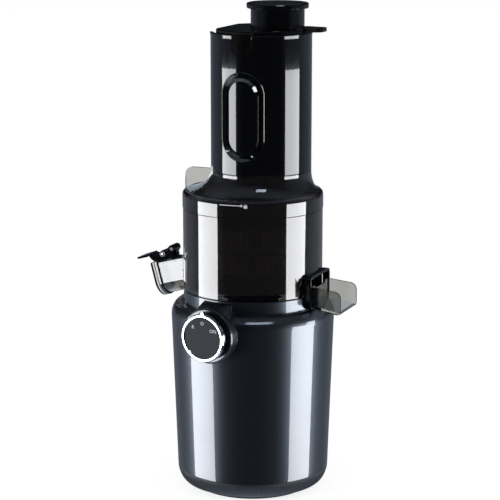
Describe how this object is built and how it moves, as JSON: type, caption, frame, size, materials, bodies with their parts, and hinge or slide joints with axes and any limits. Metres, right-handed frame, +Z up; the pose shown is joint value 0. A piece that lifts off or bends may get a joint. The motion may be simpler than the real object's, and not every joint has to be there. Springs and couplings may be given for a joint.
{
  "type": "cold press juicer",
  "caption": "Upright cold press juicer: round motor base with knob, tinted bowl with capped juice spout and pulp chute, auger, strainer, tall feed tube, gate and pusher.",
  "frame": {"origin": "where the drive axis meets the floor, in the plane of the foot ring's underside", "axes": "+Z up along the drive axis; -Y is the front of the bowl and hopper; -X is the juice side and +X the pulp side. The base front with its knob is turned 7.3 degrees from -Y towards the juice side."},
  "size_m": [0.2023, 0.1615, 0.4361],
  "materials": {
    "slate_gloss": "dark blue-grey gloss moulding",
    "slate_matte": "fine matt moulding",
    "black_gloss": "black high gloss moulding",
    "auger_plastic": "hard dark food-grade plastic, satin",
    "tinted_clear": "smoke tinted clear plastic",
    "gate_tint": "very dark brown tinted plastic",
    "rubber": "soft dark silicone",
    "dial": "flat dark grey dial with pale marks",
    "chrome": "bright chrome trim",
    "steel": "plain steel",
    "brass": "turned brass",
    "copper": "varnished windings and laminations",
    "nylon": "natural nylon"
  },
  "bodies": {
    "base": {"base_housing": "slate_gloss", "bottom_cover": "slate_matte", "foot_ring": "rubber", "cable_gland": "rubber", "dial_face": "dial", "switch_body": "nylon", "gearbox_case": "nylon", "ring_gear": "nylon", "motor_can": "steel", "end_cap": "steel", "stator": "copper", "shaft_seal": "rubber", "cover_screws": "steel", "deck_screws": "steel"},
    "knob": {"knob_ring": "chrome", "knob_body": "black_gloss", "switch_rotor": "brass"},
    "rotor": {"motor_shaft": "steel", "sun_pinion": "brass", "armature": "copper", "cooling_fan": "nylon"},
    "drive": {"planet_carrier": "steel", "drive_shaft": "steel", "auger": "auger_plastic", "auger_socket": "steel"},
    "planet_1": {"planet_a": "nylon"},
    "planet_2": {"planet_b": "nylon"},
    "planet_3": {"planet_c": "nylon"},
    "bowl_set": {"bowl": "tinted_clear", "bowl_seal": "rubber", "strainer_frame": "black_gloss", "strainer_sieve": "steel", "pulp_frame": "black_gloss", "pulp_chute": "tinted_clear", "spout_bracket": "black_gloss", "hinge_pin": "steel"},
    "cap_set": {"cap_lever": "black_gloss", "juice_cap": "black_gloss", "cap_gasket": "rubber"},
    "hopper": {"lid": "tinted_clear", "lid_seal": "rubber", "feed_tube": "black_gloss"},
    "gate_set": {"gate": "gate_tint"},
    "pusher": {"pusher_body": "black_gloss", "pusher_cap": "black_gloss"}
  },
  "joints": [
    {"name": "knob_turn", "type": "hinge", "parent": "base", "child": "knob", "pos_m": [0, 0, 0.1535], "axis": [-0.1271, -0.9919, 0], "range_deg": [-50, 50]},
    {"name": "drive_spin", "type": "hinge", "parent": "base", "child": "drive", "pos_m": [0, 0, 0], "axis": [0, 0, 1], "continuous": true},
    {"name": "rotor_spin", "type": "hinge", "parent": "base", "child": "rotor", "pos_m": [0, 0, 0], "axis": [0, 0, 1], "continuous": true},
    {"name": "planet_1_spin", "type": "hinge", "parent": "drive", "child": "planet_1", "pos_m": [0.018, 0, 0.1141], "axis": [0, 0, 1], "continuous": true},
    {"name": "planet_2_spin", "type": "hinge", "parent": "drive", "child": "planet_2", "pos_m": [-0.009, 0.01559, 0.1141], "axis": [0, 0, 1], "continuous": true},
    {"name": "planet_3_spin", "type": "hinge", "parent": "drive", "child": "planet_3", "pos_m": [-0.009, -0.01559, 0.1141], "axis": [0, 0, 1], "continuous": true},
    {"name": "bowl_twist", "type": "hinge", "parent": "base", "child": "bowl_set", "pos_m": [0, 0, 0], "axis": [0, 0, 1], "range_deg": [-24, 0]},
    {"name": "cap_open", "type": "hinge", "parent": "bowl_set", "child": "cap_set", "pos_m": [-0.07769, 0, 0.21098], "axis": [0, 1, 0], "range_deg": [0, 95]},
    {"name": "lid_twist", "type": "hinge", "parent": "bowl_set", "child": "hopper", "pos_m": [0, 0, 0], "axis": [0, 0, 1], "range_deg": [-18, 0]},
    {"name": "gate_lift", "type": "slide", "parent": "hopper", "child": "gate_set", "axis": [0, 0, 1], "range_m": [0, 0.06]},
    {"name": "pusher_slide", "type": "slide", "parent": "gate_set", "child": "pusher", "axis": [0, 0, 1], "range_m": [-0.015, 0.12]}
  ],
  "couplings": [
    {"joint": "rotor_spin", "follows": "drive_spin", "ratio": 6},
    {"joint": "planet_1_spin", "follows": "drive_spin", "ratio": -2.5},
    {"joint": "planet_2_spin", "follows": "drive_spin", "ratio": -2.5},
    {"joint": "planet_3_spin", "follows": "drive_spin", "ratio": -2.5}
  ]
}
